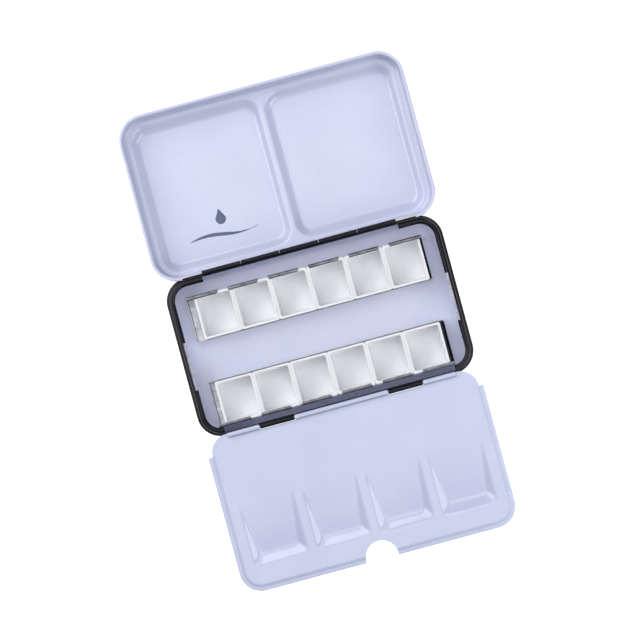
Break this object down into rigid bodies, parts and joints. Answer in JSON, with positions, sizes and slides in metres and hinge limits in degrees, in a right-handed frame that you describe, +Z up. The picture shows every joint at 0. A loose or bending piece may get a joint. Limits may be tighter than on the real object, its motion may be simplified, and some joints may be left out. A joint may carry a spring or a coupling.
{
  "type": "watercolor pan set",
  "caption": "Hinged enamelled tinplate paint tin, shown open: racks of empty white half pans, a fold-out palette flap with slanted wells, and a lid with mixing wells.",
  "frame": {"origin": "centre of the base's flat underside, on the table", "axes": "+X along the tin to the right, +Y from the palette flap in front to the lid behind, +Z up out of the pans"},
  "size_m": [0.124, 0.2079, 0.0126],
  "materials": {
    "tin_enamel": "glossy white enamel inside, and glossy black enamel outside and on the rolled rims and barrels",
    "palette_enamel": "glossy white enamel on both faces",
    "hinge_wire": "drawn steel wire",
    "rack_tinplate": "bright bare tinplate with a faint mottle",
    "pan_plastic": "moulded white polystyrene, soft gloss"
  },
  "bodies": {
    "base": {"base_tin": "tin_enamel", "back_hinge_pin": "hinge_wire", "front_hinge_pin": "hinge_wire", "pan_rack_back": "rack_tinplate", "pan_rack_front": "rack_tinplate"},
    "lid": {"lid": "tin_enamel"},
    "flap": {"palette_flap": "palette_enamel"},
    "half_pan_1": {"half_pan_1": "pan_plastic"},
    "half_pan_2": {"half_pan_2": "pan_plastic"},
    "half_pan_3": {"half_pan_3": "pan_plastic"},
    "half_pan_4": {"half_pan_4": "pan_plastic"},
    "half_pan_5": {"half_pan_5": "pan_plastic"},
    "half_pan_6": {"half_pan_6": "pan_plastic"},
    "half_pan_7": {"half_pan_7": "pan_plastic"},
    "half_pan_8": {"half_pan_8": "pan_plastic"},
    "half_pan_9": {"half_pan_9": "pan_plastic"},
    "half_pan_10": {"half_pan_10": "pan_plastic"},
    "half_pan_11": {"half_pan_11": "pan_plastic"},
    "half_pan_12": {"half_pan_12": "pan_plastic"}
  },
  "joints": [
    {"name": "lid_hinge", "type": "hinge", "parent": "base", "child": "lid", "pos_m": [0, 0.03435, 0.0115], "axis": [-1, 0, 0], "range_deg": [-180, 0]},
    {"name": "flap_hinge", "type": "hinge", "parent": "base", "child": "flap", "pos_m": [0, -0.03435, 0.0115], "axis": [1, 0, 0], "range_deg": [-180, 0]},
    {"name": "half_pan_1_lift", "type": "slide", "parent": "base", "child": "half_pan_1", "axis": [0, 0, 1], "range_m": [0, 0.015]},
    {"name": "half_pan_2_lift", "type": "slide", "parent": "base", "child": "half_pan_2", "axis": [0, 0, 1], "range_m": [0, 0.015]},
    {"name": "half_pan_3_lift", "type": "slide", "parent": "base", "child": "half_pan_3", "axis": [0, 0, 1], "range_m": [0, 0.015]},
    {"name": "half_pan_4_lift", "type": "slide", "parent": "base", "child": "half_pan_4", "axis": [0, 0, 1], "range_m": [0, 0.015]},
    {"name": "half_pan_5_lift", "type": "slide", "parent": "base", "child": "half_pan_5", "axis": [0, 0, 1], "range_m": [0, 0.015]},
    {"name": "half_pan_6_lift", "type": "slide", "parent": "base", "child": "half_pan_6", "axis": [0, 0, 1], "range_m": [0, 0.015]},
    {"name": "half_pan_7_lift", "type": "slide", "parent": "base", "child": "half_pan_7", "axis": [0, 0, 1], "range_m": [0, 0.015]},
    {"name": "half_pan_8_lift", "type": "slide", "parent": "base", "child": "half_pan_8", "axis": [0, 0, 1], "range_m": [0, 0.015]},
    {"name": "half_pan_9_lift", "type": "slide", "parent": "base", "child": "half_pan_9", "axis": [0, 0, 1], "range_m": [0, 0.015]},
    {"name": "half_pan_10_lift", "type": "slide", "parent": "base", "child": "half_pan_10", "axis": [0, 0, 1], "range_m": [0, 0.015]},
    {"name": "half_pan_11_lift", "type": "slide", "parent": "base", "child": "half_pan_11", "axis": [0, 0, 1], "range_m": [0, 0.015]},
    {"name": "half_pan_12_lift", "type": "slide", "parent": "base", "child": "half_pan_12", "axis": [0, 0, 1], "range_m": [0, 0.015]}
  ]
}
